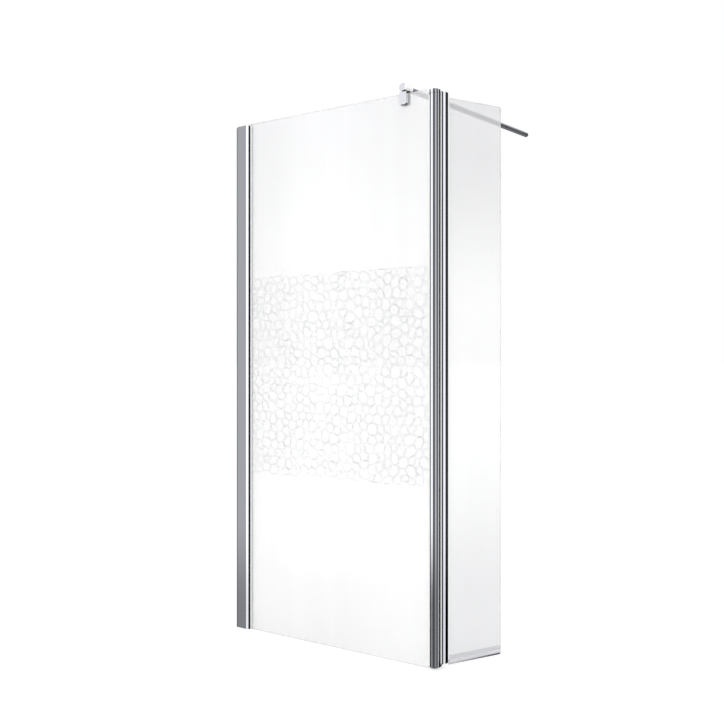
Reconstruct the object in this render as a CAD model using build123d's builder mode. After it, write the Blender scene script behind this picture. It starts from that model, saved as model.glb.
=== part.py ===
# Walk-in shower screen: a fixed glass pane in an adjustable wall profile, a round corner post,
# a glass flipper panel that swings round the post, and a stabiliser bar clamped to the top edge.
# Frame: X runs along the fixed pane from the wall, Y into the shower, Z up.
# The origin is on the wall, at the middle of the glass thickness, on the tray.
import os

from build123d import *

os.makedirs("parts", exist_ok=True)

# Fixed pane and wall side
screen_width = 903.0
pane_height = 1900.0
glass_thickness = 8.0
glass_edge = 0.6
glass_corner = 3.0
pad_thickness = 1.3
strip_lip = 6.0
strip_lip_back = 1.2
strip_lip_rise = 0.9
strip_lip_tip = 0.6

# Wall channel and the carrier profile that slides over it
adjust_in = 5.0
adjust_out = 15.0
slide_clearance = 0.3
channel_web = 2.5
channel_wall = 2.0
channel_depth = 34.0
wall_hole_diameter = 5.5
outer_hole_spacing = 1650.0
inner_hole_spacing = 550.0
carrier_start = 6.0
carrier_length = 56.0
carrier_half = 17.0
carrier_wall = 1.7
carrier_nose = 11.0
carrier_nose_drop = 1.1
carrier_edge_radius = 0.5
carrier_web = 2.0
carrier_below_pane_top = 8.0
glass_bite = 16.0
jaw_wall = 2.0
port_radius = 2.0
port_wall = 1.4
cap_thickness = 3.0
peg_length = 12.0
peg_clearance = 0.1

# Locking screws of the wall adjustment
lock_rows = 3
lock_row_margin = 200.0
lock_diameter = 5.0
lock_clearance = 0.25
lock_head_diameter = 9.5
lock_head_height = 2.2
lock_nut_size = 8.0
lock_nut_height = 3.0
lock_cover_diameter = 13.0
lock_cover_height = 3.6
lock_cover_wall = 1.0

# Corner post
post_diameter = 36.0
post_wall = 2.0
post_core_wall = 1.8
post_rib = 1.6
post_rib_count = 3
post_rib_span = 150.0
post_lift = 8.3
post_glass_bite = 7.0
notch_gap = 2.0
notch_drop = 1.0
plug_flange = 2.0
plug_spigot = 28.0

# Hinge of the flipper: pins on the post axis, turning in flanged bushes
flipper_angle = 70.0
pin_diameter = 8.0
pin_clearance = 0.05
pin_reach = 24.0
pin_chamfer = 0.6
bush_wall = 1.5
bush_flange = 0.8
bush_flange_diameter = 18.0
bush_length = 20.0
hinge_cap_below_pane_top = 5.0
cap_top_height = 12.2
cap_edge = 1.2
cap_pin_seat = 9.0
arm_thickness = 4.0
arm_half_width = 8.6
riser_gap = 1.0
riser_to_screw = 0.5
pivot_screw_diameter = 4.0
pivot_screw_head = 7.4
pivot_screw_reach = 14.0

# Flipper profile: a hollow back that follows the post, a flat face and a tapered nose
flipper_gap = 1.5
hub_half = 6.0
lip_gap = 3.2
lip_half = 8.6
flank_length = 5.4
flipper_half = 9.9
flat_length = 9.0
nose_length = 13.9
nose_wall = 1.0
flipper_wall = 2.0
flipper_pocket = 13.0
flipper_bottom = 17.0
flipper_below_pane_top = 13.0
flipper_leaf = 3.7
port_from_lip = 7.3
wiper_tongue = 1.2
wiper_groove = 1.2
wiper_gap = 0.3

# Flipper pane and the drip seal under it
flipper_reach = 278.4
flipper_glass_below_top = 24.5
flipper_glass_bottom = 24.0
flipper_glass_gap = 3.0
seal_foot = 5.0
seal_skin = 1.0
seal_base = 1.6
seal_grip = 11.0
seal_fin = 1.4
seal_bead = 1.3
seal_drip = 9.0
seal_gap = 0.5

# Glass clamp on the top edge
clamp_from_end = 135.5
clamp_width = 28.0
clamp_grip = 39.0
clamp_half = 15.0
clamp_bridge = 4.5
clamp_pad = 1.0
clamp_corner = 8.0
clamp_edge = 1.0
grub_diameter = 6.0
grub_length = 8.0
grub_key = 3.0
grub_socket = 3.0
grub_spacing = 16.0

# Bar holder and stabiliser bar
bar_diameter = 19.0
bar_wall = 1.2
bar_far_end = 855.0
bar_height_over_pane = 19.0
holder_diameter = 26.0
holder_front = 19.0
holder_back = 29.0
holder_edge = 1.2
socket_depth = 24.0
socket_clearance = 0.1
neck_diameter = 18.0
swivel_gap = 0.05
swivel_washer = 0.45
swivel_diameter = 8.0
swivel_head_diameter = 12.0
swivel_head = 1.8
swivel_reach = 19.0
set_screw_diameter = 5.0
set_screw_key = 2.5
end_plug_flange = 3.0
end_plug_spigot = 20.0
end_plug_clearance = 0.1
end_plug_edge = 1.6
end_screw_diameter = 5.0
end_screw_depth = 15.0

# Places worked out from the sizes above
post_radius = post_diameter / 2
post_x = screen_width - post_radius
glass_half = glass_thickness / 2
pocket_half = glass_half + pad_thickness
carrier_end = carrier_start + carrier_length
carrier_nose_start = carrier_end - carrier_nose
carrier_top = pane_height - carrier_below_pane_top
channel_half = carrier_half - carrier_wall - slide_clearance
channel_top = carrier_top - slide_clearance
mouth_depth = channel_depth + adjust_in + carrier_web - carrier_start
pocket_floor = carrier_start + mouth_depth + carrier_web
pane_start = carrier_end - glass_bite
chamber_inner = pocket_half + jaw_wall
chamber_outer = carrier_half - carrier_wall
chamber_end = carrier_end - carrier_wall
port_outer = port_radius + port_wall
port_x = (pocket_floor + chamber_end) / 2
port_y = (chamber_inner + chamber_outer) / 2

post_mouth = (post_radius**2 - (pocket_half + jaw_wall) ** 2) ** 0.5
pane_end = post_x - post_mouth + post_glass_bite
bush_radius = pin_diameter / 2 + pin_clearance + bush_wall
core_bore = bush_radius + post_core_wall
post_floor = post_lift + plug_flange
hinge_cap_top = pane_height - hinge_cap_below_pane_top
hinge_cap_bottom = hinge_cap_top - cap_top_height
post_cap_face = hinge_cap_bottom - bush_flange
post_ceiling = post_cap_face - plug_flange
notch_floor = post_ceiling - notch_drop
notch_x = post_x - post_radius - notch_gap

flipper_top = pane_height - flipper_below_pane_top
hub_radius = post_radius + flipper_gap
lip_start = post_radius + lip_gap
flat_start = lip_start + flank_length
nose_start = flat_start + flat_length
flipper_end = nose_start + nose_length
nose_half = pocket_half + nose_wall
flipper_port = lip_start + port_from_lip
flipper_floor = flipper_end - flipper_pocket
flipper_glass_start = flipper_floor + flipper_glass_gap
flipper_glass_top = pane_height - flipper_glass_below_top
seal_start = flipper_end + strip_lip + seal_gap
arm_top = post_lift - bush_flange
arm_bottom = arm_top - arm_thickness
leaf_bottom = flipper_bottom - flipper_leaf
riser_start = hub_radius + riser_gap
riser_end = flipper_port - pivot_screw_head / 2 - riser_to_screw

clamp_place = screen_width - clamp_from_end
bar_axis_z = pane_height + bar_height_over_pane
bar_radius = bar_diameter / 2
clamp_top = pane_height + clamp_pad + clamp_bridge
neck_bottom = clamp_top + swivel_washer + swivel_gap
socket_floor = holder_back - socket_depth

post_plane = Plane(origin=(post_x, 0, 0))
hinge_plane = post_plane.rotated((0, 0, flipper_angle))


def finish(piece, name):
    """Label a finished piece and write its file."""
    piece.part.label = name
    export_step(piece.part, f"parts/{name}.step")


def edge_strips(mouth, depth, height):
    """Draw the pair of push-in strips that hold a pane in a pocket; mouth is a plane whose x points out."""
    with BuildSketch(mouth) as strips:
        for side in (1, -1):
            with BuildLine():
                Polyline(
                    (-depth, side * glass_half),
                    (strip_lip, side * glass_half),
                    (strip_lip, side * (glass_half + strip_lip_tip)),
                    (strip_lip_back, side * (pocket_half + strip_lip_rise)),
                    (0, side * (pocket_half + strip_lip_rise)),
                    (0, side * pocket_half),
                    (-depth, side * pocket_half),
                    close=True,
                )
            make_face()
    extrude(strips.sketch, amount=height)


def grub_screw(place, diameter, length, key):
    """Draw a socket set screw; place is a plane on its outer end whose z points into the hole."""
    with BuildSketch(place) as shank:
        Circle(diameter / 2)
    extrude(shank.sketch, amount=length)
    with BuildSketch(place) as socket:
        RegularPolygon(key / 2, 6, major_radius=False)
    extrude(socket.sketch, amount=min(grub_socket, length / 2), mode=Mode.SUBTRACT)


# Wall channel: an open U screwed to the wall, with slots for the locking screws in its inner leg
lock_x = channel_web + adjust_in + lock_nut_size / 2 + slide_clearance
lock_heights = [
    lock_row_margin + row * (carrier_top - 2 * lock_row_margin) / (lock_rows - 1)
    for row in range(lock_rows)
]
hole_middle = channel_top / 2
hole_heights = [
    hole_middle + side * spacing / 2
    for spacing in (outer_hole_spacing, inner_hole_spacing)
    for side in (-1, 1)
]
with BuildPart() as wall_profile:
    with BuildSketch(Plane.XY):
        Rectangle(channel_depth, 2 * channel_half, align=(Align.MIN, Align.CENTER))
        with Locations((channel_web, 0)):
            Rectangle(
                channel_depth,
                2 * (channel_half - channel_wall),
                align=(Align.MIN, Align.CENTER),
                mode=Mode.SUBTRACT,
            )
    extrude(amount=channel_top)
    with Locations(*[Plane(origin=(channel_web, 0, z), z_dir=(1, 0, 0)) for z in hole_heights]):
        Hole(wall_hole_diameter / 2)
    slot_length = adjust_in + adjust_out + lock_diameter + 2 * lock_clearance
    slot_middle = lock_x + (adjust_out - adjust_in) / 2
    with BuildSketch(Plane(origin=(0, channel_half, 0), x_dir=(1, 0, 0), z_dir=(0, -1, 0))):
        with Locations(*[(slot_middle, z) for z in lock_heights]):
            SlotOverall(slot_length, lock_diameter + 2 * lock_clearance)
    extrude(amount=channel_wall, mode=Mode.SUBTRACT)
finish(wall_profile, "wall_profile")


# Carrier profile: slides over the wall channel and grips the pane in a pocket between two chambers
def carrier_outline():
    """Draw the carrier profile's outer shape, which tapers a little towards the pane."""
    with BuildLine() as outline:
        Polyline(
            (carrier_start, carrier_half),
            (carrier_nose_start, carrier_half),
            (carrier_end, carrier_half - carrier_nose_drop),
            (carrier_end, carrier_nose_drop - carrier_half),
            (carrier_nose_start, -carrier_half),
            (carrier_start, -carrier_half),
            close=True,
        )
    make_face(outline.edges())
    fillet(vertices().group_by(Axis.X)[-1], radius=carrier_edge_radius)


with BuildPart() as carrier_profile:
    with BuildSketch(Plane.XY):
        carrier_outline()
        with Locations((carrier_start, 0)):
            Rectangle(
                mouth_depth,
                2 * (carrier_half - carrier_wall),
                align=(Align.MIN, Align.CENTER),
                mode=Mode.SUBTRACT,
            )
        with Locations((pocket_floor, 0)):
            Rectangle(
                carrier_end - pocket_floor,
                2 * pocket_half,
                align=(Align.MIN, Align.CENTER),
                mode=Mode.SUBTRACT,
            )
        for side in (1, -1):
            with BuildLine() as chamber:
                Polyline(
                    (pocket_floor, side * chamber_inner),
                    (chamber_end, side * chamber_inner),
                    (chamber_end, side * (chamber_outer - carrier_nose_drop)),
                    (carrier_nose_start, side * chamber_outer),
                    (pocket_floor, side * chamber_outer),
                    close=True,
                )
            make_face(chamber.edges(), mode=Mode.SUBTRACT)
        with Locations((port_x, port_y), (port_x, -port_y)):
            Rectangle(port_wall, chamber_outer - chamber_inner)
            Circle(port_outer)
            Circle(port_radius, mode=Mode.SUBTRACT)
    extrude(amount=carrier_top)
    with BuildSketch(Plane(origin=(0, carrier_half, 0), x_dir=(1, 0, 0), z_dir=(0, -1, 0))):
        with Locations(*[(lock_x, z) for z in lock_heights]):
            Circle(lock_diameter / 2)
    extrude(amount=carrier_wall, mode=Mode.SUBTRACT)
finish(carrier_profile, "carrier_profile")

# Cap on top of the carrier profile, cut out for the pane and pegged into the screw ports
with BuildPart() as carrier_cap:
    with BuildSketch(Plane.XY.offset(carrier_top)):
        carrier_outline()
        with Locations((pane_start, 0)):
            Rectangle(
                glass_bite,
                glass_thickness,
                align=(Align.MIN, Align.CENTER),
                mode=Mode.SUBTRACT,
            )
    extrude(amount=cap_thickness)
    chamfer(edges().group_by(Axis.Z)[-1].sort_by(Axis.X)[0], length=carrier_wall / 2)
    with BuildSketch(Plane.XY.offset(carrier_top)):
        with Locations((port_x, port_y), (port_x, -port_y)):
            Circle(port_radius - peg_clearance)
    extrude(amount=-peg_length)
finish(carrier_cap, "carrier_cap_top")

# Locking screws with washer heads, through the inner leg of the carrier into square nuts
with BuildPart() as lock_screws:
    for z in lock_heights:
        with BuildSketch(Plane(origin=(lock_x, carrier_half, z), z_dir=(0, 1, 0))):
            Circle(lock_head_diameter / 2)
        extrude(amount=lock_head_height)
        chamfer(edges(Select.LAST).group_by(Axis.Y)[-1], length=lock_head_height / 3)
        with BuildSketch(Plane(origin=(lock_x, carrier_half, z), z_dir=(0, 1, 0))):
            Circle(lock_diameter / 2)
        extrude(amount=-(carrier_half - channel_half + channel_wall + lock_nut_height))
        with BuildSketch(Plane(origin=(lock_x, carrier_half + lock_head_height, z), z_dir=(0, 1, 0))):
            RegularPolygon(grub_key / 2, 6, major_radius=False)
        extrude(amount=-lock_head_height, mode=Mode.SUBTRACT)
finish(lock_screws, "lock_screws")

with BuildPart() as lock_nuts:
    nut_face = channel_half - channel_wall - slide_clearance / 2
    for z in lock_heights:
        with BuildSketch(Plane(origin=(lock_x, nut_face, z), z_dir=(0, -1, 0))):
            Rectangle(lock_nut_size, lock_nut_size)
            Circle(lock_diameter / 2, mode=Mode.SUBTRACT)
        extrude(amount=lock_nut_height)
finish(lock_nuts, "lock_nuts")

# Domed covers that hide the locking screws on the shower side
with BuildPart() as lock_covers:
    for z in lock_heights:
        face = Plane(origin=(lock_x, carrier_half, z), z_dir=(0, 1, 0))
        with BuildSketch(face):
            Circle(lock_cover_diameter / 2)
        extrude(amount=lock_cover_height)
        chamfer(edges(Select.LAST).group_by(Axis.Y)[-1], length=lock_cover_wall)
        with BuildSketch(face):
            Circle(lock_head_diameter / 2 + lock_clearance)
        extrude(amount=lock_cover_height - lock_cover_wall, mode=Mode.SUBTRACT)
finish(lock_covers, "lock_covers")

# Fixed pane: toughened glass, cut out at the upper corner where the hinge cap turns
with BuildPart() as main_glass:
    pane_face = Plane(origin=(0, glass_half, 0), x_dir=(1, 0, 0), z_dir=(0, -1, 0))
    with BuildSketch(pane_face):
        with Locations((pane_start, 0)):
            Rectangle(pane_end - pane_start, pane_height, align=(Align.MIN, Align.MIN))
        with Locations((notch_x, notch_floor)):
            Rectangle(
                pane_end - notch_x,
                pane_height - notch_floor,
                align=(Align.MIN, Align.MIN),
                mode=Mode.SUBTRACT,
            )
        fillet(vertices().group_by(Axis.Y)[-1], radius=glass_corner)
    extrude(amount=glass_thickness)
    chamfer(edges().filter_by(Axis.Y, reverse=True), length=glass_edge)
finish(main_glass, "main_glass")

with BuildPart() as carrier_strips:
    edge_strips(
        Plane(origin=(carrier_end, 0, 0)),
        depth=glass_bite - pad_thickness,
        height=carrier_top,
    )
finish(carrier_strips, "carrier_glazing_strips")

# Corner post: a round extrusion with a glass pocket on the wall side and a core tube for the hinge
with BuildPart() as corner_post:
    with BuildSketch(post_plane.offset(post_floor)):
        Circle(post_radius)
        Circle(post_radius - post_wall, mode=Mode.SUBTRACT)
        Circle(core_bore + post_core_wall)
        with PolarLocations(0, post_rib_count, -post_rib_span / 2, post_rib_span, endpoint=True):
            Rectangle(post_radius - post_wall / 2, post_rib, align=(Align.MIN, Align.CENTER))
        with Locations((-post_mouth, 0)):
            Rectangle(post_mouth, 2 * (pocket_half + jaw_wall), align=(Align.MIN, Align.CENTER))
        Circle(core_bore, mode=Mode.SUBTRACT)
        with Locations((-post_radius, 0)):
            Rectangle(
                post_radius - core_bore - post_core_wall,
                2 * pocket_half,
                align=(Align.MIN, Align.CENTER),
                mode=Mode.SUBTRACT,
            )
            Rectangle(
                post_radius - post_mouth,
                2 * (pocket_half + jaw_wall),
                align=(Align.MIN, Align.CENTER),
                mode=Mode.SUBTRACT,
            )
    extrude(amount=post_ceiling - post_floor)
finish(corner_post, "corner_post")

with BuildPart() as post_strips:
    edge_strips(
        Plane(origin=(post_x - post_mouth, 0, post_floor), x_dir=(-1, 0, 0), z_dir=(0, 0, 1)),
        depth=post_glass_bite - pad_thickness,
        height=notch_floor - post_floor,
    )
finish(post_strips, "post_glazing_strips")


def post_plug(face_z, into_post):
    """Draw a moulded plug that closes one end of the post and holds a hinge bush."""
    face = post_plane.offset(face_z)
    with BuildSketch(face) as flange:
        Circle(post_radius)
        with Locations((-post_radius, 0)):
            Rectangle(
                post_radius - core_bore - post_core_wall,
                2 * (glass_half + peg_clearance),
                align=(Align.MIN, Align.CENTER),
                mode=Mode.SUBTRACT,
            )
    extrude(flange.sketch, amount=into_post * plug_flange)
    with BuildSketch(face) as spigot:
        Circle(core_bore - peg_clearance)
    extrude(spigot.sketch, amount=into_post * (plug_flange + plug_spigot))
    with BuildSketch(face) as bore:
        Circle(bush_radius)
    extrude(bore.sketch, amount=into_post * (plug_flange + plug_spigot), mode=Mode.SUBTRACT)


with BuildPart() as plug_bottom:
    post_plug(post_lift, 1)
finish(plug_bottom, "post_plug_bottom")

with BuildPart() as plug_top:
    post_plug(post_cap_face, -1)
finish(plug_top, "post_plug_top")


# Hinge: acetal bushes in the plugs, pins pressed in the turning castings
def hinge_bush(face_z, into_post):
    """Draw a flanged bush whose flange carries the turning casting clear of the plug."""
    face = post_plane.offset(face_z)
    with BuildSketch(face) as sleeve:
        Circle(bush_radius)
    extrude(sleeve.sketch, amount=into_post * bush_length)
    with BuildSketch(face) as flange:
        Circle(bush_flange_diameter / 2)
    extrude(flange.sketch, amount=-into_post * bush_flange)
    with BuildSketch(face.offset(into_post * bush_length)) as bore:
        Circle(pin_diameter / 2 + pin_clearance)
    extrude(bore.sketch, amount=-into_post * (bush_length + bush_flange), mode=Mode.SUBTRACT)


with BuildPart() as bush_bottom:
    hinge_bush(post_lift, 1)
finish(bush_bottom, "hinge_bush_bottom")

with BuildPart() as bush_top:
    hinge_bush(post_cap_face, -1)
finish(bush_top, "hinge_bush_top")

with BuildPart() as pin_bottom:
    with BuildSketch(post_plane.offset(arm_bottom)):
        Circle(pin_diameter / 2)
    extrude(amount=arm_thickness + pin_reach)
    chamfer(edges().group_by(Axis.Z)[-1], length=pin_chamfer)
finish(pin_bottom, "hinge_pin_bottom")

with BuildPart() as pin_top:
    with BuildSketch(post_plane.offset(hinge_cap_bottom + cap_pin_seat)):
        Circle(pin_diameter / 2)
    extrude(amount=-(cap_pin_seat + pin_reach))
    chamfer(edges().group_by(Axis.Z)[0], length=pin_chamfer)
finish(pin_top, "hinge_pin_top")


def flipper_outline():
    """Draw the flipper profile's outer shape: hollow back, lip, flat face and tapered nose."""
    hub_start = (hub_radius**2 - hub_half**2) ** 0.5
    rim = [
        (hub_start, hub_half),
        (lip_start, hub_half),
        (lip_start, lip_half),
        (flat_start, flipper_half),
        (nose_start, flipper_half),
        (flipper_end, nose_half),
    ]
    with BuildLine() as outline:
        ThreePointArc((hub_start, -hub_half), (hub_radius, 0), (hub_start, hub_half))
        Polyline(*rim, *[(along, -across) for along, across in reversed(rim)])
    make_face(outline.edges())


# Flipper profile: hollow behind the jaws, with a screw port and grooves for the wiper strips
with BuildSketch() as flipper_chamber:
    flipper_outline()
    offset(amount=-flipper_wall)
    with Locations((flipper_floor - flipper_wall, 0)):
        Rectangle(
            flipper_end,
            2 * flipper_half,
            align=(Align.MIN, Align.CENTER),
            mode=Mode.SUBTRACT,
        )
    with Locations((flipper_port, 0)):
        Rectangle(2 * port_outer, 2 * flipper_half, mode=Mode.SUBTRACT)

tongue_place = (hub_half + lip_half) / 2
with BuildPart() as flipper_profile:
    with BuildSketch(hinge_plane.offset(flipper_bottom)):
        flipper_outline()
        add(flipper_chamber.sketch, mode=Mode.SUBTRACT)
        with Locations((flipper_floor, 0)):
            Rectangle(
                flipper_pocket,
                2 * pocket_half,
                align=(Align.MIN, Align.CENTER),
                mode=Mode.SUBTRACT,
            )
        with Locations((flipper_port, 0)):
            Circle(port_radius, mode=Mode.SUBTRACT)
        with Locations((lip_start, tongue_place), (lip_start, -tongue_place)):
            Rectangle(2 * wiper_groove, wiper_tongue, mode=Mode.SUBTRACT)
    extrude(amount=flipper_top - flipper_bottom)
finish(flipper_profile, "flipper_profile")

# Wiper strips: they fill the two corners between the profile's lips and the post
wiper_radius = post_radius + wiper_gap
with BuildPart() as wipers:
    with BuildSketch(hinge_plane.offset(flipper_bottom)):
        for side in (1, -1):
            with BuildLine() as strip:
                Polyline(
                    ((wiper_radius**2 - hub_half**2) ** 0.5, side * hub_half),
                    (lip_start, side * hub_half),
                    (lip_start, side * lip_half),
                    ((wiper_radius**2 - lip_half**2) ** 0.5, side * lip_half),
                    close=True,
                )
            make_face(strip.edges())
        with Locations((lip_start, tongue_place), (lip_start, -tongue_place)):
            Rectangle(2 * (wiper_groove - slide_clearance), wiper_tongue)
    extrude(amount=flipper_top - flipper_bottom)
finish(wipers, "flipper_wiper_strips")

# Top casting: a round cap on the post and a leaf over the end of the flipper profile
with BuildPart() as pivot_cap:
    with BuildSketch(hinge_plane.offset(hinge_cap_bottom)):
        Circle(post_radius)
    extrude(amount=cap_top_height)
    chamfer(edges().group_by(Axis.Z)[-1], length=cap_edge)
    with BuildSketch(hinge_plane.offset(flipper_top)):
        flipper_outline()
        with Locations((post_radius / 2, 0)):
            Rectangle(post_radius, 2 * hub_half, align=(Align.MIN, Align.CENTER))
    extrude(amount=flipper_leaf)
    with BuildSketch(hinge_plane.offset(hinge_cap_bottom)):
        Circle(pin_diameter / 2)
    extrude(amount=cap_pin_seat, mode=Mode.SUBTRACT)
    with Locations(hinge_plane.offset(flipper_top + flipper_leaf)):
        with Locations((flipper_port, 0)):
            CounterSinkHole(pivot_screw_diameter / 2, pivot_screw_head / 2, depth=flipper_leaf)
finish(pivot_cap, "top_pivot_cap")

# Bottom casting: a foot under the post, stepped up to a leaf under the flipper profile
with BuildPart() as pivot_arm:
    with BuildSketch(hinge_plane.offset(arm_bottom)):
        Circle(arm_half_width)
    extrude(amount=arm_thickness)
    arm_side = Plane(
        origin=hinge_plane.from_local_coords(Vector(0, arm_half_width, 0)),
        x_dir=hinge_plane.x_dir,
        z_dir=-hinge_plane.y_dir,
    )
    with BuildSketch(arm_side):
        with BuildLine():
            Polyline(
                (0, arm_bottom),
                (riser_end - arm_thickness, arm_bottom),
                (riser_end, arm_top),
                (riser_end, leaf_bottom),
                (riser_start, leaf_bottom),
                (riser_start, arm_top),
                (0, arm_top),
                close=True,
            )
        make_face()
    extrude(amount=2 * arm_half_width)
    with BuildSketch(hinge_plane.offset(leaf_bottom)):
        flipper_outline()
    extrude(amount=flipper_leaf)
    with BuildSketch(hinge_plane.offset(arm_bottom)):
        Circle(pin_diameter / 2)
    extrude(amount=arm_thickness, mode=Mode.SUBTRACT)
    underside = Plane(
        origin=hinge_plane.from_local_coords(Vector(flipper_port, 0, leaf_bottom)),
        z_dir=(0, 0, -1),
    )
    with Locations(underside):
        CounterSinkHole(pivot_screw_diameter / 2, pivot_screw_head / 2, depth=flipper_leaf)
finish(pivot_arm, "bottom_pivot_arm")


# Screws that hold the castings to the ends of the flipper profile
def pivot_screw(place):
    """Draw a countersunk screw; place is a plane on its head whose z points into the profile."""
    head_depth = (pivot_screw_head - pivot_screw_diameter) / 2
    with BuildSketch(place) as head:
        Circle(pivot_screw_head / 2 - peg_clearance)
    extrude(head.sketch, amount=head_depth, taper=45)
    with BuildSketch(place) as shank:
        Circle(pivot_screw_diameter / 2)
    extrude(shank.sketch, amount=flipper_leaf + pivot_screw_reach)
    with BuildSketch(place) as socket:
        RegularPolygon(set_screw_key / 2, 6, major_radius=False)
    extrude(socket.sketch, amount=head_depth, mode=Mode.SUBTRACT)


with BuildPart() as screw_top:
    top_face = hinge_plane.from_local_coords(Vector(flipper_port, 0, flipper_top + flipper_leaf))
    pivot_screw(Plane(origin=top_face, z_dir=(0, 0, -1)))
finish(screw_top, "pivot_screw_top")

with BuildPart() as screw_bottom:
    bottom_face = hinge_plane.from_local_coords(Vector(flipper_port, 0, leaf_bottom))
    pivot_screw(Plane(origin=bottom_face, z_dir=(0, 0, 1)))
finish(screw_bottom, "pivot_screw_bottom")

# Flipper pane on its setting block, with the strips that hold it in the jaws
flipper_face = Plane(
    origin=hinge_plane.from_local_coords(Vector(0, glass_half, 0)),
    x_dir=hinge_plane.x_dir,
    z_dir=-hinge_plane.y_dir,
)
with BuildPart() as flipper_glass:
    with BuildSketch(flipper_face):
        with Locations((flipper_glass_start, flipper_glass_bottom)):
            Rectangle(
                flipper_reach - flipper_glass_start,
                flipper_glass_top - flipper_glass_bottom,
                align=(Align.MIN, Align.MIN),
            )
        fillet(vertices().group_by(Axis.X)[-1], radius=glass_corner)
    extrude(amount=glass_thickness)
    pane_rim = edges().filter_by(lambda e: abs(e.tangent_at(0).dot(hinge_plane.y_dir)) < 0.5)
    chamfer(pane_rim, length=glass_edge)
finish(flipper_glass, "flipper_glass")

with BuildPart() as setting_block:
    with BuildSketch(hinge_plane.offset(flipper_bottom)):
        with Locations((flipper_glass_start, 0)):
            Rectangle(
                flipper_end - flipper_glass_start,
                2 * glass_half,
                align=(Align.MIN, Align.CENTER),
            )
    extrude(amount=flipper_glass_bottom - flipper_bottom)
finish(setting_block, "glass_setting_block")

with BuildPart() as flipper_strips:
    edge_strips(
        Plane(
            origin=hinge_plane.from_local_coords(Vector(flipper_end, 0, flipper_glass_bottom)),
            x_dir=hinge_plane.x_dir,
            z_dir=(0, 0, 1),
        ),
        depth=flipper_pocket - flipper_glass_gap - pad_thickness,
        height=flipper_glass_top - flipper_glass_bottom,
    )
finish(flipper_strips, "flipper_glazing_strips")

# Drip seal: a clear section that grips the lower edge of the flipper pane, with a fin and a drip rail
with BuildPart() as bottom_seal:
    seal_plane = Plane(
        origin=hinge_plane.from_local_coords(Vector(seal_start, 0, 0)),
        x_dir=hinge_plane.y_dir,
        z_dir=hinge_plane.x_dir,
    )
    seal_half = glass_half + seal_skin
    base_bottom = flipper_glass_bottom - seal_base
    with BuildSketch(seal_plane):
        with Locations((0, base_bottom)):
            Rectangle(2 * seal_half, seal_base + seal_grip, align=(Align.CENTER, Align.MIN))
        with Locations((0, flipper_glass_bottom)):
            Rectangle(
                glass_thickness,
                seal_grip,
                align=(Align.CENTER, Align.MIN),
                mode=Mode.SUBTRACT,
            )
        with Locations((0, seal_foot + seal_bead)):
            Rectangle(seal_fin, base_bottom - seal_foot, align=(Align.CENTER, Align.MIN))
            Circle(seal_bead)
        with BuildLine():
            Polyline(
                (-seal_half, base_bottom),
                (-seal_half + seal_fin, base_bottom),
                (-seal_half + seal_fin - seal_drip / 2, base_bottom - seal_drip),
                (-seal_half - seal_drip / 2, base_bottom - seal_drip),
                close=True,
            )
        make_face()
    extrude(amount=flipper_reach - seal_start)
finish(bottom_seal, "flipper_drip_seal")

# Glass clamp: a cast saddle over the top edge, tightened by two set screws on the shower side
clamp_section = Plane(
    origin=(clamp_place - clamp_width / 2, 0, 0),
    x_dir=(0, 1, 0),
    z_dir=(1, 0, 0),
)
clamp_bottom = pane_height - clamp_grip
grub_heights = [pane_height - clamp_grip / 2 + side * grub_spacing / 2 for side in (-1, 1)]
with BuildPart() as clamp_body:
    with BuildSketch(clamp_section):
        with Locations((0, clamp_bottom)):
            Rectangle(2 * clamp_half, clamp_top - clamp_bottom, align=(Align.CENTER, Align.MIN))
    extrude(amount=clamp_width)
    lower_corners = edges().filter_by(Axis.Y).group_by(Axis.Z)[0]
    fillet(lower_corners, radius=clamp_corner)
    outer_rims = edges().group_by(Axis.Y)[0] + edges().group_by(Axis.Y)[-1]
    chamfer(outer_rims, length=clamp_edge)
    with BuildSketch(clamp_section):
        with Locations((0, clamp_bottom)):
            Rectangle(
                2 * (glass_half + clamp_pad),
                pane_height + clamp_pad - clamp_bottom,
                align=(Align.CENTER, Align.MIN),
                mode=Mode.ADD,
            )
    extrude(amount=clamp_width, mode=Mode.SUBTRACT)
    for z in grub_heights:
        with BuildSketch(Plane(origin=(clamp_place, clamp_half, z), z_dir=(0, -1, 0))):
            Circle(grub_diameter / 2)
        extrude(amount=clamp_half - glass_half - clamp_pad, mode=Mode.SUBTRACT)
    pin_line = Plane(origin=(clamp_place, 0, 0))
    with BuildSketch(pin_line.offset(pane_height + clamp_pad)):
        Circle(swivel_head_diameter / 2)
    extrude(amount=swivel_head, mode=Mode.SUBTRACT)
    with BuildSketch(pin_line.offset(pane_height + clamp_pad)):
        Circle(swivel_diameter / 2)
    extrude(amount=clamp_bridge, mode=Mode.SUBTRACT)
finish(clamp_body, "clamp_body")

with BuildPart() as clamp_liner:
    with BuildSketch(clamp_section):
        with Locations((0, clamp_bottom)):
            Rectangle(
                2 * (glass_half + clamp_pad),
                clamp_grip + clamp_pad,
                align=(Align.CENTER, Align.MIN),
            )
            Rectangle(
                glass_thickness,
                clamp_grip,
                align=(Align.CENTER, Align.MIN),
                mode=Mode.SUBTRACT,
            )
    extrude(amount=clamp_width)
finish(clamp_liner, "clamp_liner")

with BuildPart() as clamp_screws:
    for z in grub_heights:
        screw_end = Plane(
            origin=(clamp_place, glass_half + clamp_pad + grub_length, z),
            z_dir=(0, -1, 0),
        )
        grub_screw(screw_end, grub_diameter, grub_length, grub_key)
finish(clamp_screws, "clamp_screws")

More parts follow.
